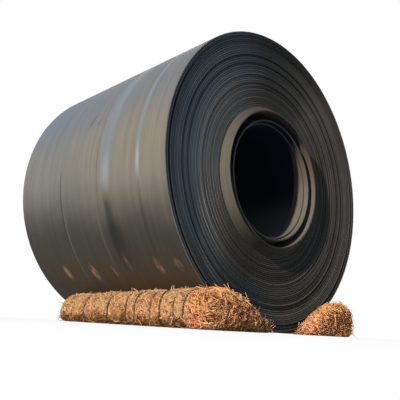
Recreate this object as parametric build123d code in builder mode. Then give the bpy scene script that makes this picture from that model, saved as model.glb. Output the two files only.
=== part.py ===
from build123d import *
import os
from itertools import accumulate
from math import sin, sqrt

# A coil of hot-rolled steel strip, lying on the floor between two rolls of straw that keep it from rolling.
# Millimetres, +Z up. The coil's axis lies along X, and its dished end looks towards +X.
# The origin is on the floor, in the middle of everything that is built here.

# Strip and coil
bore_diameter = 716
coil_diameter = 1850
strip_width = 1500
strip_thickness = 12

# The near end, from the rim inwards: a rim that falls away a little, a dish of staggered turns, a hub that stands
# out again, an open gap and the loose wraps round the bore, the outer one first
rim_turns = 5
rim_dip = 7
rim_step = 4
dish_depth = 55
dish_stagger = 3
stagger_phase = 2.4
turns_in_band = 6
cone_turns = 3
hub_rim_turns = 1
hub_recess = 12
gap_width = 39
gap_depth = 150
loose_recesses = [31, 62]

# Straw rolls: the near end is the thicker one. The edge is the thin side that reaches under the coil, the shelf
# is what stands out beyond the coil's curve, and the crest is the level top of the end that the coil leaves free.
near_height = 205
far_height = 168
roll_edge = 22
roll_shelf = 150
roll_crest = 200
roll_side_bulge = 25
roll_shoulder = 70
free_slope_bulge = 25
roll_end_round = 30
front_overhang = 170
rear_overhang = 95

# Twine round the straw: the first gap is measured from the roll's near end, the others from tie to tie
front_tie_gaps = [176, 77, 102, 80, 128, 79, 168, 252]
rear_tie_gaps = [176, 259, 375]
roll_tail = 308
twine = 5
twine_width = 8

clearance = 0.3

coil_radius = coil_diameter / 2
bore_radius = bore_diameter / 2
coil_axis = Axis((0, 0, coil_radius), (1, 0, 0))

os.makedirs("parts", exist_ok=True)


def turn_bands():
    """The turns from the rim to the bore in bands: (outer radius, inner radius, recess at each of them, groove)."""
    bands = []
    radius = coil_radius

    def add_band(width, outer_recess, inner_recess, groove=0):
        nonlocal radius
        bands.append((radius, radius - width, outer_recess, inner_recess, groove))
        radius -= width

    add_band(rim_turns * strip_thickness, 0, rim_dip)

    # The dish is steepest below the rim, and its bands are staggered
    cone_width = cone_turns * strip_thickness
    hub_rim_width = hub_rim_turns * strip_thickness
    wraps_width = len(loose_recesses) * strip_thickness
    dish_width = radius - cone_width - hub_rim_width - gap_width - wraps_width - bore_radius
    dish_bands = max(2, round(dish_width / (turns_in_band * strip_thickness)))
    dish_top = rim_dip + rim_step
    for i in range(dish_bands):
        fall = (dish_depth - dish_top) * sqrt(i / (dish_bands - 1))
        recess = dish_top + fall + dish_stagger * sin(stagger_phase * i)
        add_band(dish_width / dish_bands, recess, recess)

    add_band(cone_width, recess, hub_recess)
    add_band(hub_rim_width, hub_recess, hub_recess)
    add_band(gap_width, hub_recess, hub_recess, gap_depth)
    for recess in loose_recesses:
        add_band(strip_thickness, recess, recess)
    return bands


# Where things stand along X: the box round everything is centred on the origin
roll_length = sum(front_tie_gaps) + roll_tail
deepest_recess = max(max(outer_recess, inner_recess) for _, _, outer_recess, inner_recess, _ in turn_bands())
near_reach = strip_width / 2 + max(front_overhang, rear_overhang)
far_reach = strip_width / 2 + deepest_recess
coil_middle = (far_reach - near_reach) / 2
near_face = coil_middle + strip_width / 2
far_face = coil_middle - strip_width / 2


def coil_outline():
    """The half section through the coil. Every turn is one strip wide, so a turn that is recessed at the near
    end stands out by as much at the far end, and a gap opens at both."""
    near_end = []
    far_end = []
    for outer, inner, outer_recess, inner_recess, groove in turn_bands():
        for radius, recess in [(outer, outer_recess), (inner, inner_recess)]:
            near_point = (near_face - recess - groove, coil_radius + radius)
            if near_point not in near_end:
                near_end.append(near_point)
                far_end.append((far_face - recess + groove, coil_radius + radius))
    return near_end + far_end[::-1]


def coil_room(gap):
    """The space that the coil takes up, with a gap round it."""
    with BuildPart() as room:
        with BuildSketch(Plane.YZ.offset(far_face - deepest_recess - gap)):
            with Locations((0, coil_radius)):
                Circle(coil_radius + gap)
        extrude(amount=deepest_recess + strip_width + 2 * gap)
    return room.part


def under_coil(height):
    """How far from the coil's lowest line its surface is that high above the floor."""
    return sqrt(2 * coil_radius * height - height**2)


def roll_section(x, side, sink, shrink):
    """A straw roll's free section across X, on the side of +Y or -Y, sunk below the floor by sink and drawn in by
    shrink all round."""
    foot = under_coil(roll_edge) + shrink
    reach = under_coil(near_height) + roll_shelf - shrink
    brow = reach - roll_crest
    flank = reach - roll_side_bulge
    low = shrink - sink
    edge_top = low + roll_edge
    top = near_height - shrink - sink
    with BuildSketch(Plane.YZ.offset(x)) as section:
        with BuildLine():
            Line((side * foot, low), (side * flank, low))
            ThreePointArc((side * flank, low), (side * reach, (low + top) / 2), (side * flank, top))
            Line((side * flank, top), (side * brow, top))
            slope = Vector(brow - foot, top - edge_top)
            bulge = Vector(-slope.Y, slope.X).normalized() * free_slope_bulge
            swell = Vector(foot, edge_top) + slope / 2 + bulge
            ThreePointArc((side * brow, top), (side * swell.X, swell.Y), (side * foot, edge_top))
            Line((side * foot, edge_top), (side * foot, low))
        make_face()
        top_corners = section.vertices().sort_by(Axis.Y)[-2:]
        shoulder = top_corners.sort_by(lambda corner: abs(corner.X))[-1]
        fillet(shoulder, min(roll_shoulder, (top - low) / 2))
    return section.sketch


def straw_form(side, near_end, shrink):
    """A roll of straw, drawn in by shrink: its top falls towards the far end, its ends are rounded, and the coil
    and the floor press into it."""
    far_end = near_end - roll_length
    near_round = near_end - roll_end_round
    far_round = far_end + roll_end_round
    sink = near_height - far_height
    with BuildPart() as form:
        near_section = roll_section(near_round, side, 0, shrink).face()
        far_section = roll_section(far_round, side, sink, shrink).face()
        fall = Vector(far_round - near_round, 0, -sink)
        extrude(near_section, amount=fall.length, dir=fall)
        loft([near_section, roll_section(near_end, side, 0, shrink + roll_end_round).face()], ruled=True)
        loft([far_section, roll_section(far_end, side, sink, shrink + roll_end_round).face()], ruled=True)
        split(bisect_by=Plane.XY.offset(shrink))
        add(coil_room(clearance + shrink), mode=Mode.SUBTRACT)
    return form.part


def straw_ties(side, near_end, tie_places):
    """The rings of twine round a straw roll: its outer skin, where the ties are."""
    with BuildPart() as slices:
        with Locations([(x, 0, 0) for x in tie_places]):
            Box(twine_width, 2 * coil_diameter, 2 * near_height)
    with BuildPart() as ties:
        add(straw_form(side, near_end, 0))
        add(straw_form(side, near_end, twine), mode=Mode.SUBTRACT)
        add(slices.part, mode=Mode.INTERSECT)
    return ties.part


# The coil, turned in one piece with its bore
with BuildPart() as steel_coil:
    with BuildSketch(Plane.XZ):
        with BuildLine():
            Polyline(*coil_outline(), close=True)
        make_face()
    revolve(axis=coil_axis)
steel_coil.part.label = "steel_coil"
export_step(steel_coil.part, "parts/steel_coil.step")

# The straw rolls in front of and behind the coil
for name, side, overhang, tie_gaps in [
    ("front", -1, front_overhang, front_tie_gaps),
    ("rear", 1, rear_overhang, rear_tie_gaps),
]:
    near_end = near_face + overhang
    straw_roll = straw_form(side, near_end, twine + clearance)
    straw_roll.label = f"{name}_straw_roll"
    export_step(straw_roll, f"parts/{straw_roll.label}.step")

    tie_places = [near_end - along for along in accumulate(tie_gaps)]
    twine_rings = straw_ties(side, near_end, tie_places)
    twine_rings.label = f"{name}_straw_ties"
    export_step(twine_rings, f"parts/{twine_rings.label}.step")
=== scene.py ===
from math import cos, pi, radians, sin

import bmesh
import bpy
import numpy as np
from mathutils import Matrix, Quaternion, Vector


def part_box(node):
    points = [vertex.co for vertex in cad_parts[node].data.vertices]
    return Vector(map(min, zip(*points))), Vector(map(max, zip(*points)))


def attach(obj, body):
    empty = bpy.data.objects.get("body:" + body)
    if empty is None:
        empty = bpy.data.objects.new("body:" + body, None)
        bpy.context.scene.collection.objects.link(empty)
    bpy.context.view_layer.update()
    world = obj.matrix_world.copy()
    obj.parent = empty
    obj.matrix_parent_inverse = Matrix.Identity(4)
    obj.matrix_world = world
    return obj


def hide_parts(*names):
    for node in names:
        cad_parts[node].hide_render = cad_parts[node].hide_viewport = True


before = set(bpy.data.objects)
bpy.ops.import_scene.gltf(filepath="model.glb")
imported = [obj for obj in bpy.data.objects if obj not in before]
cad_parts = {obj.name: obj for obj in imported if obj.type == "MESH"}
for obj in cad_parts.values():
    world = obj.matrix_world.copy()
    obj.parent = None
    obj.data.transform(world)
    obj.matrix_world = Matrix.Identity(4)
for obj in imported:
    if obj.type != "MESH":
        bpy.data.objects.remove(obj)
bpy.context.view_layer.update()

# The looks of a coil of hot-rolled strip between two tied straw rolls, in metres.
# The coil's axis lies along X at coil_radius above the floor, and its dished end looks towards +X.

coil_low, coil_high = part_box("steel_coil")
coil_radius = (coil_high.z - coil_low.z) / 2
near_face = coil_high.x

# Strip and winding
strip_width = 1.5
strip_thickness = 0.012
bore_radius = 0.358
wrap_radius = 0.371
hub_radius = 0.421
loose_turns = 2
tight_turns = round((coil_radius - strip_thickness - hub_radius) / strip_thickness)
turn_count = loose_turns + tight_turns
far_face = near_face - strip_width
tip_angle = radians(-94.5)
angle_steps = 160
barrel_steps = 24

# The slot between two turns: its depth, the hub's share of that, how much a wider slot adds, and its limit
slot_depth = 0.006
hub_groove = 0.1
slot_opening = 12
gap_depth = 0.15

# The strip's rounded edge: distance in from the strip's face, and drop behind the edge
edge_rounding = [(0.0003, 0.0035), (0.0028, 0.0)]

# Where the strip lies: turns counted from the inner tip, against its inner radius there
winding_turns = [0, 0.8, 1, 1.8, loose_turns, turn_count]
winding_radii = [bore_radius, 0.3585, wrap_radius, 0.3715, hub_radius, coil_radius - strip_thickness]
climb_share = 0.08

# The near end's shape: turns from the inner tip, and how far the strip's edge there lies behind the rim
recess_turns = [0, 0.8, 1, 1.8, 2, 3, 6]
recesses = [0.062, 0.062, 0.031, 0.031, 0.010, 0.010, 0.058]
rim_turns = 5
rim_dip = 0.007
rim_step = 0.011
dish_depth = recesses[-1]
dish_curve = 0.75
step_turns = 0.4
cone_foot = hub_radius + (recess_turns[-1] - loose_turns) * strip_thickness

# How the turns stray from that shape: every second one, each by itself, a few by more, and one that lies deep
alternate_stray = 0.0004
own_stray = 0.0006
rare_stray = 0.0016
sunk_turn = turn_count - 3
sunk_depth = 0.011
sunk_ease = 0.06
sunk_top_share = 0.2

# Straw rolls, as in the solids
near_height = 0.205
far_height = 0.168
roll_edge = 0.022
roll_shelf = 0.150
roll_crest = 0.200
front_tie_gaps = [0.176, 0.077, 0.102, 0.080, 0.128, 0.079, 0.168, 0.252]
rear_tie_gaps = [0.176, 0.259, 0.375]

# How tightly each tie holds, up to 1, and what stays free between the straw and the coil or the floor
front_tie_holds = [0.4, 1.0, 0.7, 0.4, 0.7, 1.0, 0.5, 1.0]
rear_tie_holds = [1.0, 0.6, 1.0]
coil_gap = 0.004
floor_gap = 0.003

# Room for the straws that lie on a roll's skin
straw_room = 0.004

# Camera and light
camera_place = Vector((near_face + 1.8748, -2.4836, 0.0134))
camera_aim = Vector((-0.6967, 0.6771, 0.2371))
camera_roll = radians(3.264)
camera_lens = 46.68
key_off_face = radians(7.6)
key_height = radians(24)
key_strength = 2.9
key_softness = radians(1.5)
key_colour = (1.0, 0.93, 0.83)
to_back = (-0.55, 0.75, 0.45)
back_strength = 0.9
back_softness = radians(50)
back_colour = (0.90, 0.95, 1.0)
fill_strength = 0.19
fill_colour = (0.43, 0.71, 1.0)


# Helpers for meshes

def new_piece(name, points, faces, material, tones=None):
    """A mesh piece of the object that rides on its only body, with an optional tone for each point."""
    mesh = bpy.data.meshes.new(name)
    mesh.from_pydata(points, [], faces)
    if tones is not None:
        mesh.attributes.new("tone", "FLOAT", "POINT").data.foreach_set("value", np.asarray(tones, np.float32))
    mesh.materials.append(material)
    piece = bpy.data.objects.new(name, mesh)
    bpy.context.scene.collection.objects.link(piece)
    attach(piece, "root")
    return piece


def close_mesh(mesh, merge_distance=2e-6):
    """Joins points that coincide and turns all faces outwards."""
    shape = bmesh.new()
    shape.from_mesh(mesh)
    bmesh.ops.remove_doubles(shape, verts=shape.verts, dist=merge_distance)
    bmesh.ops.recalc_face_normals(shape, faces=shape.faces)
    shape.to_mesh(mesh)
    shape.free()


def shade_smooth(mesh, sharp_angle):
    mesh.polygons.foreach_set("use_smooth", np.ones(len(mesh.polygons), bool))
    mesh.set_sharp_from_angle(angle=sharp_angle)


def tube_faces(ring_count, ring_size):
    """Faces with four corners between rings of points that follow each other."""
    here = np.arange(ring_count - 1)[:, None] * ring_size
    after = here + ring_size
    start = np.arange(ring_size)
    following = np.roll(start, -1)
    faces = np.stack([here + start, here + following, after + following, after + start], axis=-1)
    return faces.reshape(-1, 4).tolist()


def wander(places, spacing, seed):
    """A smooth seeded wander between -1 and 1, with a knot every spacing."""
    places = np.asarray(places) / spacing
    before = np.floor(places).astype(int)
    knots = np.random.default_rng(seed).uniform(-1, 1, before.max() + 2)
    step = places - before
    ease = step * step * (3 - 2 * step)
    return knots[before] * (1 - ease) + knots[before + 1] * ease


# The coil: one strip, wound from its inner tip to its outer tail

def inner_radius(turn):
    """The strip's inner radius, that many turns from its inner tip. The further out a turn is, the rounder
    it is, and the shorter is the part of it that climbs onto the turn below."""
    radius = np.interp(turn, winding_turns + [turn_count + 1], winding_radii + [coil_radius])
    way = turn - np.floor(turn)
    climb = np.clip(way / climb_share, 0, 1) - way
    return radius + strip_thickness * climb * np.clip((turn - loose_turns) / tight_turns, 0, 1)


def near_recess(turn):
    """How far behind the rim the strip's edge lies at the near end, that many turns from the inner tip."""
    outermost = turn_count + 1
    rim_turn = outermost - rim_turns
    inside = np.interp(turn, recess_turns, recesses)
    dish_share = np.clip((rim_turn - turn) / (rim_turn - recess_turns[-1]), 0, 1)
    dish = rim_step + (dish_depth - rim_step) * dish_share**dish_curve
    rim = rim_dip * (outermost - turn) / rim_turns
    past_step = np.clip((turn - rim_turn) / step_turns, 0, 1)
    outside = dish * (1 - past_step) + rim * past_step
    return np.where(turn < recess_turns[-1], inside, outside)


def sunk_share(turn):
    """Up to 1 on the turn that lies deep, less at the coil's top, and 0 on all other turns."""
    going_in = np.clip((turn - sunk_turn) / sunk_ease, 0, 1)
    coming_out = np.clip((sunk_turn + 1 - turn) / sunk_ease, 0, 1)
    height = np.sin(tip_angle + 2 * pi * turn)
    return going_in * coming_out * np.clip((0.8 - height) / 0.6, sunk_top_share, 1)


def alternate(turn):
    """1 and -1 on turns that lie next to each other."""
    return np.clip(4 * np.sin(pi * turn), -1, 1)


def edge_wander(turn):
    """How far the strip's edge strays from the smooth form of the end: every second turn lies a little
    behind, and one near the rim lies deep."""
    own = wander(turn, 0.6, seed=11)
    stray = wander(turn, 0.9, seed=13) ** 5
    in_dish = np.clip(turn - recess_turns[-1], 0, 1) * np.clip(turn_count + 1 - rim_turns - turn, 0, 1)
    small = alternate_stray * alternate(turn) + own_stray * own + rare_stray * stray
    return in_dish * small - sunk_depth * sunk_share(turn)


def wound_strip(material):
    """The strip as one closed band: a loop of points round its section at every step of the angle."""
    steps = np.arange(angle_steps + 1)
    turn = np.arange(turn_count) + steps[:, None] / angle_steps
    inner = inner_radius(turn)
    next_inner = inner_radius(turn + 1)
    outer = inner + strip_thickness
    stray = edge_wander(turn)

    # The edge's section, as (radius, x), turn after turn, and the slot between a turn and the next one.
    # The tight turns' edges lean with the end's slope, and those of the hub are pressed close.
    lean = np.clip(turn - loose_turns, 0, 1)
    groove = np.where((turn > loose_turns) & (turn < recess_turns[-1] - 1), hub_groove, 1)
    section = edge_rounding + [(strip_thickness - inset, drop) for inset, drop in reversed(edge_rounding)]
    edge_radii = []
    near_edge = []
    far_edge = []
    for across, drop in section:
        x = near_face - near_recess(turn + lean * across / strip_thickness) + stray
        edge_radii.append(inner + across)
        near_edge.append(x - drop * groove)
        far_edge.append(x + drop * groove - strip_width)
    slot_width = np.clip(next_inner - outer, 0, None)
    slot = np.minimum(gap_depth, slot_depth * groove + slot_opening * slot_width)
    next_near = np.concatenate([near_edge[0][:, 1:], near_edge[-1][:, -1:]], axis=1)
    next_far = np.concatenate([far_edge[0][:, 1:], far_edge[-1][:, -1:]], axis=1)
    near_slot = np.minimum(near_edge[-1], next_near) - slot
    far_slot = np.maximum(far_edge[-1], next_far) + slot
    inset = edge_rounding[0][0]
    slot_radii = [outer - inset, next_inner + inset]
    per_turn = len(edge_radii) + len(slot_radii)

    def rows(edge, slot_x):
        radii = np.stack(edge_radii + slot_radii, axis=2).reshape(len(steps), -1)
        x = np.stack(edge + [slot_x] * len(slot_radii), axis=2).reshape(len(steps), -1)
        return np.stack([radii, x], axis=-1)[:, :-len(slot_radii)]

    near_rows = rows(near_edge, near_slot)
    far_rows = rows(far_edge, far_slot)

    def between(first, last, radius):
        """Points on the barrel or the bore, from one end of the strip to the other."""
        share = np.linspace(0, 1, barrel_steps + 1)
        x = first[:, None] + (last - first)[:, None] * share
        return np.stack([np.broadcast_to(radius[:, None], x.shape), x], axis=-1)

    barrel = between(near_rows[:, -1, 1] - inset, far_rows[:, -1, 1] + inset, outer[:, -1])
    bore = between(far_rows[:, 0, 1] + inset, near_rows[:, 0, 1] - inset, inner[:, 0])

    loop = np.concatenate([near_rows, barrel, far_rows[:, ::-1], bore], axis=1)
    width = loop.shape[1]
    angle = tip_angle + 2 * pi * steps[:, None] / angle_steps
    radius = loop[:, :, 0]
    points = np.stack([loop[:, :, 1], radius * np.cos(angle), coil_radius + radius * np.sin(angle)], axis=-1)

    # Faces between the loops, and the strip's flat ends: its tip in the bore and its tail under the coil
    faces = tube_faces(len(steps), width)
    last = angle_steps * width
    barrel_start = near_rows.shape[1]
    barrel_end = barrel_start + barrel.shape[1]
    bore_start = width - bore.shape[1]
    tip = list(range(per_turn + 1)) + [last + j for j in range(width - 1, bore_start - 1, -1)]
    tip += list(range(bore_start - per_turn - 1, width))
    tail = [last + j for j in range(barrel_start - per_turn - 1, barrel_end + per_turn + 1)]
    tail += list(range(barrel_end - 1, barrel_start - 1, -1))
    faces += [tip, tail]

    own_tone = 0.8 * wander(turn, 1.1, seed=14) + 0.3 * wander(turn, 0.5, seed=15)
    # the deep turn's edge is darker, as painted shade in its gap
    own_tone = own_tone + 0.2 * alternate(turn) - 0.8 * sunk_share(turn)
    tone = np.repeat(own_tone, per_turn, axis=1)[:, :-len(slot_radii)]
    barrel_tone = np.repeat(tone[:, -1:], barrel.shape[1], axis=1)
    bore_tone = np.repeat(tone[:, :1], bore.shape[1], axis=1)
    tones = np.concatenate([tone, barrel_tone, tone[:, ::-1], bore_tone], axis=1)
    points = points.reshape(-1, 3)
    piece = new_piece("wound_strip", points, faces, material, tones.ravel())
    close_mesh(piece.data)
    shade_smooth(piece.data, radians(40))
    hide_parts("steel_coil")


# Straw rolls

def under_coil(height):
    """How far from the coil's lowest line its surface is that high above the floor."""
    return (2 * coil_radius * height - height**2) ** 0.5


def closed_curve(corners, count):
    """Points along a smooth closed curve through corners, evenly spaced."""
    corners = np.asarray(corners, float)
    share = np.linspace(0, 1, 12, endpoint=False)[:, None]
    stretches = []
    for i in range(len(corners)):
        before, first, second, after = (corners[(i + j) % len(corners)] for j in (-1, 0, 1, 2))
        bend = (second - before) / 2
        end_bend = (after - first) / 2
        stretches.append(
            (2 * share**3 - 3 * share**2 + 1) * first + (share**3 - 2 * share**2 + share) * bend
            + (3 * share**2 - 2 * share**3) * second + (share**3 - share**2) * end_bend
        )
    fine = np.concatenate(stretches)
    fine = np.concatenate([fine, fine[:1]])
    along = np.concatenate([[0], np.cumsum(np.linalg.norm(np.diff(fine, axis=0), axis=1))])
    wanted = np.linspace(0, along[-1], count, endpoint=False)
    return np.stack([np.interp(wanted, along, fine[:, i]) for i in range(2)], axis=1)


class StrawRoll:
    """A straw roll's skin as a grid of points: stations along X, and points round each section. The roll
    lies on the side of +Y (1) or -Y (-1). Over cap_length, its ends are drawn in to cap_share of the size."""

    ring_count = 80
    cap_steps = 12
    station_gap = 0.009
    tie_pull = 0.009
    tie_reach = 0.015

    # Lumps: the waves' length along X, their number round the section, and their height
    lump_waves = [
        (0.31, 2, 0.004),
        (0.13, 3, 0.005),
        (0.071, 5, 0.004),
        (0.043, 9, 0.003),
        (0.027, 14, 0.002),
    ]

    def __init__(self, name, side, tie_gaps, tie_holds, cap_length, cap_share, seed):
        low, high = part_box(f"{name}_straw_roll")
        self.name = name
        self.cap_length = cap_length
        self.cap_share = cap_share
        self.side = side
        self.near_end = high.x
        self.far_end = low.x
        self.ties = self.near_end - np.cumsum(tie_gaps)
        self.tie_holds = np.array(tie_holds)
        self.random = np.random.default_rng(seed)
        cap = self.cap_length * (1 - np.cos(np.linspace(0, pi / 2, self.cap_steps)))
        far_cap = self.far_end + cap
        near_cap = self.near_end - cap[::-1]
        body_count = round((near_cap[0] - far_cap[-1]) / self.station_gap)
        body = np.linspace(far_cap[-1], near_cap[0], body_count + 1)[1:-1]
        self.stations = np.concatenate([far_cap, body, near_cap])
        self.grid = self.skin()
        self.normals = self.skin_normals()

    def section(self, height):
        """The free section, from the thin edge under the coil outwards: distance from the coil's lowest line,
        and height above the floor."""
        foot = under_coil(roll_edge)
        reach = under_coil(near_height) + roll_shelf - straw_room
        brow = reach - roll_crest
        return closed_curve(
            [
                (foot, 0.010),
                ((foot + reach) / 2, 0.004),
                (reach - 0.035, 0.006),
                (reach, 0.42 * height),
                (reach - 0.022, 0.82 * height),
                (reach - 0.095, height - straw_room),
                (brow, height - 0.008),
                ((brow + foot) / 2, 0.62 * height),
            ],
            self.ring_count,
        )

    def skin(self):
        along = (self.stations - self.far_end) / (self.near_end - self.far_end)
        heights = far_height + (near_height - far_height) * along
        rings = np.stack([self.section(height) for height in heights])

        # Rounded ends, lumps, and a waist at each tie
        from_end = np.minimum(self.stations - self.far_end, self.near_end - self.stations)
        end_share = np.clip(1 - from_end / self.cap_length, 0, 1)
        scale = self.cap_share + (1 - self.cap_share) * np.sqrt(1 - end_share**2)
        middle = rings.mean(axis=1, keepdims=True)
        rings = middle + (rings - middle) * scale[:, None, None]
        draw_in = self.tie_pull * self.at_tie(self.stations, self.tie_reach)
        around = np.arange(self.ring_count) / self.ring_count
        lumps = self.lumps(self.stations[:, None], around[None, :])
        outward = rings - middle
        outward = outward / np.linalg.norm(outward, axis=2, keepdims=True)
        rings = rings + outward * (lumps - draw_in[:, None])[:, :, None]
        rings[:, :, 1] = np.clip(rings[:, :, 1], floor_gap, None)
        x = np.broadcast_to(self.stations[:, None], lumps.shape)
        points = np.stack([x, self.side * rings[:, :, 0], rings[:, :, 1]], axis=-1)
        return self.clear_of_coil(points, coil_gap)

    def lumps(self, x, around):
        """Low uneven lumps of the straw."""
        total = 0
        for wave_length, turns, height in self.lump_waves:
            phase = self.random.uniform(0, 2 * pi, 2)
            along_wave = np.sin(2 * pi * x / wave_length + phase[0])
            round_wave = np.sin(2 * pi * turns * around + phase[1])
            total = total + height * along_wave * round_wave
        return total

    def clear_of_coil(self, points, gap):
        """Pushes points that would lie in the coil out to a gap from its barrel, and off the floor."""
        points = np.array(points)
        y = points[..., 1]
        z = points[..., 2] - coil_radius
        distance = np.hypot(y, z)
        wanted = coil_radius + gap
        under = (points[..., 0] < near_face + gap) & (distance < wanted)
        scale = np.where(under, wanted / np.maximum(distance, 1e-9), 1)
        points[..., 1] = y * scale
        points[..., 2] = np.maximum(coil_radius + z * scale, floor_gap)
        return points

    def skin_normals(self):
        along = np.gradient(self.grid, axis=0)
        around = np.roll(self.grid, -1, axis=1) - np.roll(self.grid, 1, axis=1)
        normals = np.cross(around, along) * self.side
        return normals / np.linalg.norm(normals, axis=2, keepdims=True)

    def at(self, x, around):
        """Skin points and normals at places along X and round the section, 0 to 1."""
        place = np.interp(x, self.stations, np.arange(len(self.stations)))
        place = np.clip(place, 0, len(self.stations) - 1.001)
        i = place.astype(int)
        u = (place - i)[..., None]
        turned = np.mod(around, 1) * self.ring_count
        j = turned.astype(int) % self.ring_count
        v = (turned - np.floor(turned))[..., None]
        k = (j + 1) % self.ring_count

        def blend(grid):
            near = grid[i, j] * (1 - v) + grid[i, k] * v
            far = grid[i + 1, j] * (1 - v) + grid[i + 1, k] * v
            return near * (1 - u) + far * u

        normals = blend(self.normals)
        return blend(self.grid), normals / np.linalg.norm(normals, axis=-1, keepdims=True)

    def at_tie(self, x, reach):
        """How tightly a tie holds at a place along X: 0 where there is none, up to 1 at a tight one."""
        to_tie = np.abs(np.asarray(x)[..., None] - self.ties)
        return (self.tie_holds * np.exp(-((to_tie / reach) ** 2))).max(axis=-1)

    def bundle(self, material):
        """The closed body of pressed straw."""
        count = self.ring_count
        stations = len(self.stations)
        points = self.grid.reshape(-1, 3)
        faces = tube_faces(stations, count)
        last = (stations - 1) * count
        faces += [list(range(count)), [last + j for j in range(count)]]
        # the bundle is dark as painted shade between the straws over it, and darker at each tie's waist as
        # painted shade
        waist_shade = self.at_tie(self.stations, self.tie_reach)
        tones = self.random.uniform(0.1, 0.5, len(points)) - 0.2 * np.repeat(waist_shade, count)
        piece = new_piece(f"{self.name}_straw_bundle", points, faces, material, tones)
        close_mesh(piece.data)
        shade_smooth(piece.data, radians(50))
        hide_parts(f"{self.name}_straw_roll")


def strand_mesh(paths, widths):
    """Points and faces of thin three-sided straws along paths: (straw, point, xyz)."""
    count, length, _ = paths.shape
    along = np.gradient(paths, axis=1)
    along /= np.linalg.norm(along, axis=2, keepdims=True)
    helper = np.where(np.abs(along[..., 2:]) < 0.8, [[[0.0, 0.0, 1.0]]], [[[1.0, 0.0, 0.0]]])
    side = np.cross(along, helper)
    side /= np.linalg.norm(side, axis=2, keepdims=True)
    up = np.cross(side, along)
    taper = np.ones(length)
    taper[[0, -1]] = 0.55
    corners = []
    for corner in range(3):
        turn = 2 * pi * corner / 3
        offset = (cos(turn) * side + sin(turn) * up) * (widths[:, None] * taper / 2)[..., None]
        corners.append(paths + offset)
    points = np.stack(corners, axis=2).reshape(-1, 3)
    base = (np.arange(count) * length * 3)[:, None, None]
    ring = (np.arange(length - 1) * 3)[None, :, None]
    first = np.arange(3)[None, None, :]
    second = (first + 1) % 3
    here = base + ring
    after = here + 3
    quads = np.stack([here + first, here + second, after + second, after + first], axis=-1)
    starts = base[:, 0, 0]
    ends = starts + (length - 1) * 3
    faces = quads.reshape(-1, 4).tolist()
    faces += np.stack([starts + 2, starts + 1, starts], axis=1).tolist()
    faces += np.stack([ends, ends + 1, ends + 2], axis=1).tolist()
    return points, faces


def lying_straws(roll, count):
    """Straws that lie on the roll's skin between its ties, mostly along it. The higher ones are paler, as
    painted light.
    """
    tie_margin = 0.005
    tie_reach = 0.010
    lift_light_tone = 40
    girth = 1.35
    random = roll.random
    x = random.uniform(roll.far_end + 0.02, roll.near_end - 0.03, count)
    around = random.uniform(0.34, 1.0, count)
    length = random.uniform(0.035, 0.13, count)
    heading = random.normal(0, radians(45), count)
    edges = np.concatenate([[roll.far_end], roll.ties[::-1], [roll.near_end]])
    bay = np.clip(np.searchsorted(edges, x) - 1, 0, len(edges) - 2)
    low = edges[bay] + tie_margin
    high = edges[bay + 1] - tie_margin
    half = np.minimum(length * np.abs(np.cos(heading)), high - low) / 2
    x = np.clip(x, low + half, high - half)
    steps = np.linspace(-1, 1, 4)
    bow = random.normal(0, 0.012, count)[:, None] * steps**2
    path_x = x[:, None] + half[:, None] * steps
    path_around = around[:, None] + (length[:, None] * steps * np.sin(heading)[:, None] / 2 + bow) / girth
    points, normals = roll.at(path_x, path_around)
    lift = random.uniform(-0.002, 0.006, count)
    flick = np.clip(random.normal(0.0, 0.004, (count, 2)), -0.002, 0.010)
    level = np.zeros(count)
    rise = lift[:, None] + np.stack([flick[:, 0], level, level, flick[:, 1]], axis=1)
    tone = random.uniform(0.40, 1.40, count) + lift_light_tone * (lift - 0.002)
    rise = rise * (1 - roll.at_tie(path_x, tie_reach))
    return points + normals * rise[..., None], tone


def tangled_straws(roll, x, around, length, lift):
    """Straws laid across the skin at given places, each in its own direction, bent round it."""
    spread = (0.8, 1.4, 0.7)
    limp_length = 0.18
    random = roll.random
    count = len(x)
    start, normal = roll.at(x, around)
    direction = random.normal(size=(count, 3)) * spread
    outwards = np.sum(direction * normal, axis=1, keepdims=True)
    direction -= random.uniform(0.85, 1.0, (count, 1)) * normal * outwards
    direction /= np.linalg.norm(direction, axis=1, keepdims=True)
    sideways = np.cross(normal, direction)
    steps = np.linspace(-0.5, 0.5, 4)[None, :, None]
    bend = random.normal(0, 0.6, count)[:, None, None]
    droop = random.uniform(0.5, 1.2, count)[:, None, None] * length[:, None, None] / limp_length
    curve = bend * sideways[:, None] - droop * normal[:, None]
    across = steps * direction[:, None] + steps**2 * curve
    return start[:, None] + normal[:, None] * lift[:, None, None] + length[:, None, None] * across


def end_straws(roll, count, near):
    """The tangle on one end of the roll, with a few long straws where it lies open."""
    tangle_depth = 0.14
    long_share = 0.14
    long_stretch = 1.9
    random = roll.random
    back = tangle_depth * random.uniform(0, 1, count) ** 2 + 0.002
    x = roll.near_end - back if near else roll.far_end + back
    around = random.uniform(0, 1, count)
    exposed = (around > 0.35) & (around < 0.85)
    stretch = np.where(exposed & (random.uniform(0, 1, count) < long_share), long_stretch, 1)
    length = random.uniform(0.05, 0.15, count) * stretch
    lift = random.uniform(-0.004, 0.006, count)
    return tangled_straws(roll, x, around, length, lift)


def tip_straws(roll, count):
    """The tips of straws that run along the roll and stand out of its near end."""
    random = roll.random
    x = roll.near_end - roll.cap_length * random.uniform(0, 1, count) ** 2 - 0.001
    middle = roll.grid[-1].mean(axis=0)
    start = roll.at(x, random.uniform(0, 1, count))[0]
    inwards = np.sqrt(random.uniform(0, 1, count))[:, None]
    start = middle + (start - middle) * inwards
    length = random.uniform(0.025, 0.055, count)[:, None, None]
    heading = np.array([1.0, 0.0, 0.0]) + random.normal(0, 0.30, (count, 3))
    droop = np.zeros((count, 3))
    droop[:, 2] = -random.uniform(0.0, 0.4, count)
    steps = np.linspace(-0.6, 0.4, 4)[None, :, None]
    return start[:, None] + length * (heading[:, None] * steps + droop[:, None] * steps**2)


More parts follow.
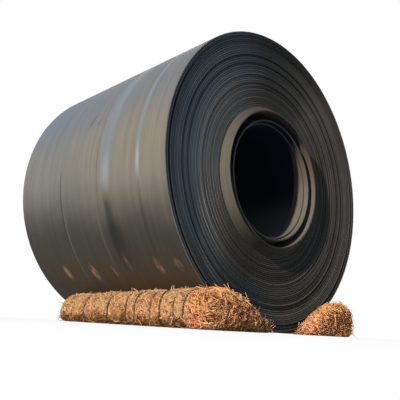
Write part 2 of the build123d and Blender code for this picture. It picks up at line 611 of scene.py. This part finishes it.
def loose_straws(roll, count):
    """Short straws that stand off the top and the outer side."""
    random = roll.random
    x = random.uniform(roll.far_end + 0.03, roll.near_end - 0.06, count)
    around = random.uniform(0.40, 0.90, count)
    start, normals = roll.at(x, around)
    heading = normals * random.uniform(0.05, 0.30, count)[:, None] + random.normal(0, 0.6, (count, 3))
    heading /= np.linalg.norm(heading, axis=1, keepdims=True)
    length = random.uniform(0.02, 0.05, count)
    droop = np.zeros((count, 3))
    droop[:, 2] = -random.uniform(0.1, 0.5, count)
    steps = np.linspace(0, 1, 4)[None, :, None]
    return start[:, None] + length[:, None, None] * (heading[:, None] * steps + droop[:, None] * steps**2)


def straw_piece(roll, name, paths, widths, tone, material):
    """One mesh of many straws, kept off the coil and the floor and near the roll's own ends."""
    past_end = 0.020
    paths[..., 0] = np.clip(paths[..., 0], roll.far_end - past_end, roll.near_end + past_end)
    paths = roll.clear_of_coil(paths, coil_gap)
    points, faces = strand_mesh(paths, widths)
    tones = np.repeat(tone, paths.shape[1] * 3)
    piece = new_piece(f"{roll.name}_{name}", points, faces, material, tones)
    shade_smooth(piece.data, radians(70))


def straw_strands(roll, material, lying_count, near_count, far_count, tip_count, loose_count):
    """Two pieces: the straws along the roll, and the tangle at its ends with what stands off."""
    dark_share = 0.26
    random = roll.random
    lying, tone = lying_straws(roll, lying_count)
    widths = random.uniform(0.0026, 0.0056, lying_count)
    straw_piece(roll, "straw_strands", lying, widths, tone, material)

    ends = np.concatenate([
        end_straws(roll, near_count, True),
        end_straws(roll, far_count, False),
        tip_straws(roll, tip_count),
        loose_straws(roll, loose_count),
    ])
    widths = random.uniform(0.0030, 0.0065, len(ends))
    dark = random.uniform(0, 1, len(ends)) < dark_share
    tone = np.where(dark, random.uniform(-0.3, 0.2, len(ends)), random.uniform(0.75, 2.0, len(ends)))
    straw_piece(roll, "straw_ends", ends, widths, tone, material)


def twine_rings(roll, material):
    """Two-ply twine tied round the roll. A tight tie stands higher on the waist that it pulls in."""
    ply = 0.0023
    twine_gap = 0.0005
    plies = 2
    samples = 320
    twists = 40
    sides = 5
    row = np.arange(samples)[:, None] * sides
    after = np.roll(row, -1, axis=0)
    side = np.arange(sides)
    beside = np.roll(side, -1)
    quads = np.stack([row + side, row + beside, after + beside, after + side], axis=-1).reshape(-1, 4)
    sideways = np.array([1.0, 0.0, 0.0])
    around = np.arange(samples) / samples
    all_points = []
    all_faces = []
    base = 0
    for x, hold in zip(roll.ties, roll.tie_holds):
        sway = 0.005 * np.sin(2 * pi * around + x * 40) + 0.002 * np.sin(6 * pi * around + x * 90)
        centre, outward = roll.at(x + sway, around)
        centre = centre + outward * (0.001 + 0.005 * hold)
        for k in range(plies):
            turn = 2 * pi * (twists * around + k / plies)
            path = centre + ply * 0.8 * (np.cos(turn)[:, None] * outward + np.sin(turn)[:, None] * sideways)
            ring = []
            for corner in range(sides):
                spin = 2 * pi * corner / sides
                ring.append(path + ply * (cos(spin) * outward + sin(spin) * sideways))
            points = np.stack(ring, axis=1)
            points = roll.clear_of_coil(points, twine_gap)
            all_points.append(points.reshape(-1, 3))
            all_faces += (quads + base).tolist()
            base += samples * sides
    piece = new_piece(f"{roll.name}_twine", np.concatenate(all_points), all_faces, material)
    close_mesh(piece.data, 1e-7)
    shade_smooth(piece.data, radians(80))
    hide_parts(f"{roll.name}_straw_ties")


# Helpers for materials

class Tree:
    """A material's or the world's node tree, with short ways to add nodes."""

    def __init__(self, owner):
        owner.use_nodes = True
        self.nodes = owner.node_tree.nodes
        self.links = owner.node_tree.links
        self.nodes.clear()

    def add(self, kind, inputs=None, **settings):
        node = self.nodes.new(kind)
        for name, value in settings.items():
            setattr(node, name, value)
        for name, value in (inputs or {}).items():
            self.feed(node.inputs[name], value)
        return node

    def feed(self, socket, value):
        if isinstance(value, bpy.types.NodeSocket):
            self.links.new(value, socket)
        else:
            socket.default_value = value

    def math(self, operation, first, second=0.0, clamp=False):
        node = self.add("ShaderNodeMath", operation=operation, use_clamp=clamp)
        self.feed(node.inputs[0], first)
        self.feed(node.inputs[1], second)
        return node.outputs[0]

    def ramp(self, value, low, high, start=0.0, end=1.0, smooth=True):
        """value taken from low..high to start..end, and held at the ends."""
        kind = "SMOOTHSTEP" if smooth else "LINEAR"
        node = self.add("ShaderNodeMapRange", interpolation_type=kind)
        for socket, given in zip(node.inputs, (value, low, high, start, end)):
            self.feed(socket, given)
        return node.outputs[0]

    def mix(self, share, first, second, blend="MIX"):
        node = self.add("ShaderNodeMix", data_type="RGBA", blend_type=blend)
        self.feed(node.inputs[0], share)
        self.feed(node.inputs[6], first)
        self.feed(node.inputs[7], second)
        return node.outputs[2]

    def scaled(self, colour, level):
        """A colour made lighter or darker by a level that varies."""
        node = self.add("ShaderNodeVectorMath", operation="SCALE")
        fixed = not isinstance(colour, bpy.types.NodeSocket)
        self.feed(node.inputs[0], colour[:3] if fixed else colour)
        self.feed(node.inputs["Scale"], level)
        return node.outputs[0]

    def noise(self, place, stretch, detail=3.0, roughness=0.55):
        """Noise from 0 to 1 over a place, finer where the stretch is larger."""
        scaled = self.add("ShaderNodeVectorMath", operation="MULTIPLY")
        self.feed(scaled.inputs[0], place)
        scaled.inputs[1].default_value = stretch
        node = self.add("ShaderNodeTexNoise", {"Scale": 1.0, "Detail": detail, "Roughness": roughness})
        self.links.new(scaled.outputs[0], node.inputs["Vector"])
        return node.outputs["Fac"]

    def spot(self, place, middle, turn, size):
        """1 in the middle of a turned oval and 0 from its edge on."""
        local = self.add("ShaderNodeMapping", {"Vector": place}, vector_type="TEXTURE")
        local.inputs["Location"].default_value = (*middle, 0.0)
        local.inputs["Rotation"].default_value = (0.0, 0.0, turn)
        local.inputs["Scale"].default_value = (*size, 1.0)
        away = self.add("ShaderNodeVectorMath", operation="LENGTH")
        self.links.new(local.outputs[0], away.inputs[0])
        return self.ramp(away.outputs["Value"], 1.0, 0.2)

    def bump(self, height, distance, strength=1.0):
        node = self.add("ShaderNodeBump", {"Height": height, "Distance": distance, "Strength": strength})
        return node.outputs[0]

    def principled(self, colour, roughness, specular, normal):
        inputs = {"Base Color": colour, "Roughness": roughness, "Specular IOR Level": specular}
        return self.add("ShaderNodeBsdfPrincipled", {**inputs, "Normal": normal})

    def mix_shaders(self, share, first, second):
        node = self.add("ShaderNodeMixShader")
        self.feed(node.inputs[0], share)
        self.links.new(first.outputs[0], node.inputs[1])
        self.links.new(second.outputs[0], node.inputs[2])
        return node

    def show(self, shader, kind="ShaderNodeOutputMaterial"):
        """Makes a shader the one that the material or the world shows."""
        output = self.add(kind)
        self.links.new(shader.outputs[0], output.inputs["Surface"])


def rgb(red, green, blue):
    return (red, green, blue, 1.0)


def steel_material():
    """Matte mill scale: grain round the coil, paler and darker bands on the barrel, dirt and straw scuffs
    low down, with painted light and shade on the barrel, in the bore and on the ends."""
    material = bpy.data.materials.new("mill_scale_steel")
    tree = Tree(material)
    place = tree.add("ShaderNodeTexCoord").outputs["Object"]
    parts = tree.add("ShaderNodeSeparateXYZ", {"Vector": place}).outputs
    normal = tree.add("ShaderNodeNewGeometry").outputs["True Normal"]
    facing = tree.add("ShaderNodeSeparateXYZ", {"Vector": normal}).outputs
    on_end = tree.ramp(tree.math("ABSOLUTE", facing["X"]), 0.35, 0.7)
    above_axis = tree.math("SUBTRACT", parts["Z"], coil_radius)
    forward = tree.math("MULTIPLY", parts["Y"], -1.0)
    angle = tree.math("ARCTAN2", above_axis, forward)
    squares = tree.math("ADD", tree.math("POWER", above_axis, 2.0), tree.math("POWER", parts["Y"], 2.0))
    radius = tree.math("SQRT", squares)
    along = tree.math("SUBTRACT", parts["X"], far_face)
    on_barrel = tree.ramp(radius, coil_radius - 0.030, coil_radius - 0.016)

    grain = tree.noise(place, (260.0, 3.0, 3.0), 4.0)
    streak = tree.noise(place, (34.0, 1.6, 1.6), 3.0)
    cloud = tree.noise(place, (2.2, 2.5, 2.5), 5.0)
    tone = tree.math("ADD", tree.math("MULTIPLY", grain, 0.40), tree.math("MULTIPLY", streak, 0.35))
    tone = tree.math("ADD", tone, tree.math("MULTIPLY", cloud, 0.25))
    level = tree.ramp(tone, 0.30, 0.70, 0.76, 1.24, smooth=False)

    # Blue-grey scale on top, bluer by a painted sky reflection, warmer on the sides and towards the near end,
    # painted shade low down
    height = parts["Z"]
    side_colour = tree.mix(tree.ramp(along, 0.2, 1.2), rgb(0.250, 0.250, 0.238), rgb(0.292, 0.268, 0.222))
    sky_reflection_top_colour = tree.mix(tree.ramp(along, 0.2, 1.2), rgb(0.182, 0.216, 0.262), rgb(0.204, 0.216, 0.238))
    barrel_colour = tree.mix(tree.ramp(height, 0.95, 1.38), side_colour, sky_reflection_top_colour)
    # painted shade: the barrel grows darker towards the floor
    low = tree.math("ADD", height, tree.math("MULTIPLY", cloud, 0.12))
    low = tree.ramp(tree.math("ADD", low, tree.math("MULTIPLY", along, 0.07)), 0.98, 0.58)
    barrel_colour = tree.mix(low, barrel_colour, rgb(0.080, 0.076, 0.066))

    # Paler and darker bands of glossier scale and worn lines round the barrel. The bands carry a painted sky
    # reflection above and a painted ground reflection below, and two a painted highlight: distance from the
    # far end, half width, softness of the edges, lowest and highest place, share and tint
    fade = 0.06
    sway = tree.math("MULTIPLY", tree.math("SUBTRACT", streak, 0.5), 0.012)
    # light and dark tint both the thin lines and the painted sky and ground reflection of the bands
    light = rgb(0.265, 0.312, 0.362)
    painted_highlight = rgb(0.480, 0.480, 0.430)
    dark = rgb(0.034, 0.036, 0.036)
    worn = rgb(0.230, 0.210, 0.175)
    for distance, half_width, soft, lowest, highest, share, tint in [
        (0.985, 0.048, 0.034, 0.77, 1.95, 0.80, light),
        (0.985, 0.030, 0.028, 0.40, 0.68, 0.75, dark),
        (1.008, 0.064, 0.056, 0.30, 0.55, 0.60, dark),
        (1.278, 0.014, 0.009, 0.79, 1.70, 0.90, light),
        (1.277, 0.012, 0.008, 0.78, 0.92, 0.80, painted_highlight),
        (0.985, 0.030, 0.026, 0.76, 0.92, 0.35, painted_highlight),
        (1.282, 0.012, 0.009, 0.40, 0.70, 0.25, dark),
        (0.505, 0.007, 0.005, 0.50, 0.90, 0.45, dark),
        (0.522, 0.007, 0.005, 0.26, 0.66, 0.45, worn),
        (0.470, 0.010, 0.008, 0.85, 1.50, 0.25, light),
        (0.872, 0.006, 0.005, 0.24, 0.62, 0.40, worn),
        (0.898, 0.005, 0.004, 0.62, 1.30, 0.22, dark),
    ]:
        off = tree.math("ABSOLUTE", tree.math("SUBTRACT", along, distance))
        mark = tree.ramp(tree.math("ADD", off, sway), half_width + soft, half_width - soft)
        mark = tree.math("MULTIPLY", mark, tree.ramp(height, lowest - fade, lowest + fade))
        mark = tree.math("MULTIPLY", mark, tree.ramp(height, highest + fade, highest - fade, 0.0, share))
        barrel_colour = tree.mix(mark, barrel_colour, tint)

    # Brown dirt close to the floor
    dirt_noise = tree.noise(place, (7.0, 9.0, 9.0), 5.0)
    dirt = tree.math("MULTIPLY", tree.ramp(height, 0.48, 0.20), tree.ramp(dirt_noise, 0.25, 0.60, 0.35, 0.9))
    barrel_colour = tree.mix(dirt, barrel_colour, rgb(0.100, 0.071, 0.044))
    barrel_colour = tree.scaled(barrel_colour, level)

    # Scuffs where straw rubbed off, above the front roll: distance from the far end, angle, sizes and share
    arc = tree.math("MULTIPLY", angle, coil_radius)
    flat_place = tree.add("ShaderNodeCombineXYZ", {"X": along, "Y": arc}).outputs[0]
    rub = tree.noise(flat_place, (62.0, 24.0, 1.0), 5.0, 0.65)
    rub = tree.ramp(rub, 0.40, 0.58, 0.15, 1.0)
    for distance, lean, half_length, half_width, share in [
        (0.327, -42.0, 0.080, 0.042, 0.90),
        (0.631, -42.3, 0.080, 0.038, 0.90),
        (0.841, -42.4, 0.060, 0.016, 0.40),
        (1.003, -39.4, 0.070, 0.024, 0.30),
        (1.252, -41.3, 0.075, 0.032, 0.55),
        (1.407, -41.1, 0.060, 0.036, 0.35),
    ]:
        middle = (distance, coil_radius * radians(lean))
        scuff = tree.spot(flat_place, middle, radians(-79), (half_length, half_width))
        scuff = tree.math("MULTIPLY", tree.math("MULTIPLY", scuff, rub), share)
        barrel_colour = tree.mix(scuff, barrel_colour, rgb(0.540, 0.335, 0.195))

    # Dark scratches: distance from the far end, angle, slant, half length and share
    for distance, lean, slant, half_length, share in [
        (0.748, 17.6, 73, 0.095, 0.80),
        (0.826, 15.6, 60, 0.030, 0.50),
    ]:
        middle = (distance, coil_radius * radians(lean))
        scratch = tree.spot(flat_place, middle, radians(slant), (half_length, 0.010))
        barrel_colour = tree.mix(tree.math("MULTIPLY", scratch, share), barrel_colour, rgb(0.08, 0.08, 0.08))

    # The dark line along the near rim is painted shade, and the bore is painted dark in its depth as painted
    # shade,
    # # paler low down as painted sky light. On one side of its mouth the hub's inside shows a painted sunlit
    # # crescent, rusty there in its upper half; the walls of the slots past the hub have painted shade.
    # painted shade: a dark line along the near rim
    rim_shade_line = tree.ramp(parts["X"], near_face - 0.006, near_face - 0.003, 0.0, 0.65)
    barrel_colour = tree.mix(rim_shade_line, barrel_colour, rgb(0.030, 0.032, 0.034))
    depth = tree.math("SUBTRACT", near_face, parts["X"])
    upwards = tree.math("MULTIPLY", above_axis, 0.41)
    aside = tree.math("SUBTRACT", tree.math("MULTIPLY", parts["Y"], 0.91), upwards)
    # painted sunlight: the crescent of the hub's inside that the key light reaches, in the hub's colour
    sunlit_depth = tree.math("ADD", tree.math("MULTIPLY", aside, 0.235), 0.056)
    sunlit_crescent_or_hub = tree.ramp(tree.math("SUBTRACT", depth, sunlit_depth), 0.008, 0.0)
    sunlit_crescent_or_hub = tree.math("MULTIPLY", sunlit_crescent_or_hub, tree.ramp(aside, 0.05, 0.20))
    sunlit_crescent_or_hub = tree.math("MAXIMUM", sunlit_crescent_or_hub, tree.ramp(radius, hub_radius + 0.0025, hub_radius + 0.009))
    hub_colour = tree.scaled(rgb(0.215, 0.197, 0.156), level)
    # painted shade deep in the bore, bluish, and paler low down as painted sky light
    bore_low_sky_light = tree.ramp(above_axis, 0.04, -0.20)
    bore_painted_shade = tree.mix(bore_low_sky_light, rgb(0.014, 0.026, 0.042), rgb(0.160, 0.150, 0.140))
    rust = tree.ramp(above_axis, 0.0, 0.16, 0.0, 0.55)
    bore_painted_light_and_shade = tree.mix(sunlit_crescent_or_hub, bore_painted_shade, tree.mix(rust, hub_colour, rgb(0.170, 0.098, 0.070)))
    # painted shade on the walls of the slots and steps past the hub
    slot_wall_shade = tree.ramp(radius, cone_foot + 0.009, cone_foot + 0.019)
    bore_painted_light_and_shade = tree.mix(slot_wall_shade, bore_painted_light_and_shade, rgb(0.100, 0.098, 0.090))
    face_colour = tree.mix(on_barrel, bore_painted_light_and_shade, barrel_colour)

    # The strip's edges on the ends: every turn has its own tone, and the turns differ more behind the axis.
    # The rim
    # # has painted shade, most of all in front, where it is bluer. In front the edges have painted light that
    # grows
    # # towards the hub, and above the axis behind it lies a patch of painted light. The hub is tan, with
    # painted
    # # shade at its top and at its foot.
    turn_tone = tree.add("ShaderNodeAttribute", attribute_name="tone").outputs["Fac"]
    edge_level = tree.ramp(turn_tone, -1.4, 1.2, 0.15, 1.75, smooth=False)
    edge_level = tree.math("MULTIPLY", edge_level, tree.ramp(cloud, 0.3, 0.7, 0.85, 1.15, smooth=False))
    contrast = tree.ramp(forward, 0.25, -0.15, 1.0, 1.7)
    edge_level = tree.math("MULTIPLY", tree.math("SUBTRACT", edge_level, 1.0), contrast)
    edge_level = tree.math("MAXIMUM", tree.math("ADD", edge_level, 1.0), 0.1)
    # painted shade on the rim, deepest in front
    rim_shade_level = tree.ramp(forward, -0.3, 0.1, 0.78, 0.58)
    rim_shade_level = tree.ramp(radius, coil_radius - 0.16, coil_radius - 0.03, 1.0, rim_shade_level)
    edge_level = tree.math("MULTIPLY", edge_level, rim_shade_level)
    # painted light on the edges in front, growing towards the hub
    inwards = tree.ramp(radius, 0.76, 0.60)
    towards = tree.math("ADD", tree.math("MULTIPLY", forward, 0.85), tree.math("MULTIPLY", above_axis, 0.20))
    painted_light_level = tree.ramp(inwards, 0.0, 1.0, 2.1, 4.0, smooth=False)
    edge_level = tree.math("MULTIPLY", edge_level, tree.ramp(towards, 0.14, 0.62, 0.66, painted_light_level))
    # painted light: a paler patch above the axis behind it
    end_place = tree.add("ShaderNodeCombineXYZ", {"X": parts["Y"], "Y": above_axis}).outputs[0]
    pale = tree.spot(end_place, (0.44, 0.60), 0.0, (0.42, 0.36))
    edge_level = tree.math("MULTIPLY", edge_level, tree.ramp(pale, 0.0, 1.0, 1.0, 1.5, smooth=False))
    warmer = tree.math("MAXIMUM", inwards, tree.ramp(forward, 0.25, -0.15))
    edge_colour = tree.mix(warmer, rgb(0.130, 0.141, 0.145), rgb(0.155, 0.139, 0.121))
    edge_colour = tree.scaled(edge_colour, edge_level)
    hub = tree.ramp(radius, cone_foot + 0.013, cone_foot - 0.003)
    # painted shade at the hub's top and at its foot
    hub_top_shade = tree.mix(tree.ramp(above_axis, 0.10, 0.46), hub_colour, rgb(0.100, 0.094, 0.104))
    hub_with_shade = tree.scaled(hub_top_shade, tree.ramp(above_axis, -0.20, -0.42, 1.0, 0.35))
    edge_colour = tree.mix(hub, edge_colour, hub_with_shade)
    colour = tree.mix(on_end, face_colour, edge_colour)

    roughness = tree.ramp(cloud, 0.3, 0.7, 0.50, 0.66)
    pits = tree.noise(place, (240.0, 90.0, 90.0), 3.0)
    tree.show(tree.principled(colour, roughness, specular=0.04, normal=tree.bump(pits, 0.0006, 0.6)))
    return material


def straw_material():
    """Dry straw: each straw has its own tone, from brown to pale gold, in patches. Beside the coil it has
    painted shade at the floor, and the rolls' free ends are brighter with painted light."""
    material = bpy.data.materials.new("straw")
    tree = Tree(material)
    place = tree.add("ShaderNodeTexCoord").outputs["Object"]
    tone = tree.add("ShaderNodeAttribute", attribute_name="tone").outputs["Fac"]
    patch = tree.noise(place, (9.0, 12.0, 12.0), 4.0)
    clump = tree.noise(place, (42.0, 50.0, 50.0), 2.0)
    fibre = tree.noise(place, (60.0, 420.0, 420.0), 3.0)
    level = tree.math("ADD", tone, tree.math("MULTIPLY", tree.math("SUBTRACT", patch, 0.5), 0.55))
    level = tree.math("ADD", level, tree.math("MULTIPLY", tree.math("SUBTRACT", clump, 0.5), 1.3))
    level = tree.math("ADD", level, tree.math("MULTIPLY", tree.math("SUBTRACT", fibre, 0.5), 0.30))
    parts = tree.add("ShaderNodeSeparateXYZ", {"Vector": place}).outputs
    free_end = tree.ramp(parts["X"], near_face, near_face + 0.06)
    # painted shade low down beside the coil
    painted_foot_shade = tree.ramp(free_end, 0.0, 1.0, 0.95, 0.0, smooth=False)
    level = tree.math("SUBTRACT", level, tree.ramp(parts["Z"], 0.082, 0.010, 0.0, painted_foot_shade), clamp=True)
    ramp = tree.add("ShaderNodeValToRGB", {"Fac": level})
    stops = ramp.color_ramp.elements
    stops[0].position = 0.0
    stops[0].color = rgb(0.210, 0.086, 0.038)
    stops[1].position = 1.0
    stops[1].color = rgb(0.950, 0.630, 0.375)
    for position, colour in [(0.30, rgb(0.580, 0.255, 0.115)), (0.65, rgb(0.880, 0.460, 0.225))]:
        stop = stops.new(position)
        stop.color = colour
    hue = tree.ramp(tree.noise(place, (6.0, 9.0, 9.0), 3.0), 0.42, 0.62)
    colour = tree.mix(hue, ramp.outputs["Color"], rgb(0.97, 1.05, 0.92), blend="MULTIPLY")
    # painted light that brightens the rolls' free ends
    painted_end_light = tree.mix(tree.ramp(parts["Y"], 0.0, 0.3), rgb(1.22, 1.03, 0.92), rgb(1.27, 1.07, 0.94))
    colour = tree.mix(free_end, colour, painted_end_light, blend="MULTIPLY")
    tree.show(tree.principled(colour, roughness=0.8, specular=0.2, normal=tree.bump(fibre, 0.002, 0.5)))
    return material


def twine_material():
    """Dark coarse twine."""
    material = bpy.data.materials.new("twine")
    tree = Tree(material)
    place = tree.add("ShaderNodeTexCoord").outputs["Object"]
    fuzz = tree.noise(place, (300.0, 300.0, 300.0), 3.0)
    colour = tree.mix(tree.ramp(fuzz, 0.3, 0.7), rgb(0.130, 0.066, 0.036), rgb(0.300, 0.160, 0.085))
    tree.show(tree.principled(colour, roughness=0.9, specular=0.1, normal=tree.bump(fuzz, 0.0008)))
    return material


# Floor, light and camera

def shown_rays(tree):
    """1 for rays that show the background as it is: from the camera, a reflection or through glass."""
    path = tree.add("ShaderNodeLightPath").outputs
    shown = tree.math("MAXIMUM", path["Is Camera Ray"], path["Is Glossy Ray"])
    return tree.math("MAXIMUM", shown, path["Is Transmission Ray"])


def make_floor():
    """A pale floor that shows the object's shadow close to it and is white further off."""
    half = 40.0
    corners = [(-half, -half, 0), (half, -half, 0), (half, half, 0), (-half, half, 0)]
    mesh = bpy.data.meshes.new("floor")
    mesh.from_pydata(corners, [], [(0, 1, 2, 3)])
    floor = bpy.data.objects.new("floor", mesh)
    bpy.context.scene.collection.objects.link(floor)
    material = bpy.data.materials.new("pale_floor")
    tree = Tree(material)
    place = tree.add("ShaderNodeTexCoord").outputs["Object"]
    away = tree.add("ShaderNodeVectorMath", operation="LENGTH")
    tree.feed(away.inputs[0], place)
    shadow_reach = 1.2
    white_from = 3.5
    white_share = tree.ramp(away.outputs["Value"], shadow_reach, white_from, 0.93, 1.0)
    pale = tree.add("ShaderNodeBsdfDiffuse", {"Color": rgb(0.30, 0.31, 0.33)})
    white = tree.add("ShaderNodeEmission", {"Color": rgb(1, 1, 1), "Strength": 1.0})
    tree.show(tree.mix_shaders(tree.math("MULTIPLY", shown_rays(tree), white_share), pale, white))
    mesh.materials.append(material)


def make_light():
    """A white background, bluish fill from all round, a warm low key light and a soft one from behind."""
    world = bpy.data.worlds.new("studio")
    bpy.context.scene.world = world
    tree = Tree(world)
    fill = tree.add("ShaderNodeBackground", {"Color": rgb(*fill_colour), "Strength": fill_strength})
    white = tree.add("ShaderNodeBackground", {"Color": rgb(1, 1, 1), "Strength": 1.0})
    tree.show(tree.mix_shaders(shown_rays(tree), fill, white), kind="ShaderNodeOutputWorld")

    to_key = (sin(key_off_face) * cos(key_height), -cos(key_off_face) * cos(key_height), sin(key_height))
    add_sun("key", to_key, key_strength, key_softness, key_colour)
    add_sun("back", to_back, back_strength, back_softness, back_colour)


def add_sun(name, towards, strength, angle, colour):
    """Even light that comes from a direction."""
    lamp = bpy.data.lights.new(name, "SUN")
    lamp.energy = strength
    lamp.angle = angle
    lamp.color = colour
    sun = bpy.data.objects.new(name, lamp)
    sun.rotation_euler = Vector(towards).to_track_quat("Z", "Y").to_euler()
    bpy.context.scene.collection.objects.link(sun)


def make_camera():
    lens = bpy.data.cameras.new("camera")
    lens.lens = camera_lens
    lens.sensor_width = 36
    lens.clip_end = 200
    camera = bpy.data.objects.new("camera", lens)
    camera.location = camera_place
    level = camera_aim.to_track_quat("-Z", "Y")
    camera.rotation_euler = (level @ Quaternion((0, 0, 1), camera_roll)).to_euler()
    bpy.context.scene.collection.objects.link(camera)
    bpy.context.scene.camera = camera


bpy.context.scene.view_settings.view_transform = "Standard"
make_camera()
make_light()
make_floor()

steel = steel_material()
straw = straw_material()
twine = twine_material()

wound_strip(steel)
front_roll = StrawRoll(
    "front", -1, front_tie_gaps, front_tie_holds, cap_length=0.080, cap_share=0.30, seed=21
)
rear_roll = StrawRoll(
    "rear", 1, rear_tie_gaps, rear_tie_holds, cap_length=0.034, cap_share=0.74, seed=22
)
front_straws = dict(lying_count=9000, near_count=1700, far_count=400, tip_count=500, loose_count=600)
rear_straws = dict(lying_count=8000, near_count=900, far_count=500, tip_count=1400, loose_count=120)
for roll, straw_counts in [(front_roll, front_straws), (rear_roll, rear_straws)]:
    roll.bundle(straw)
    straw_strands(roll, straw, **straw_counts)
    twine_rings(roll, twine)

bpy.context.view_layer.update()
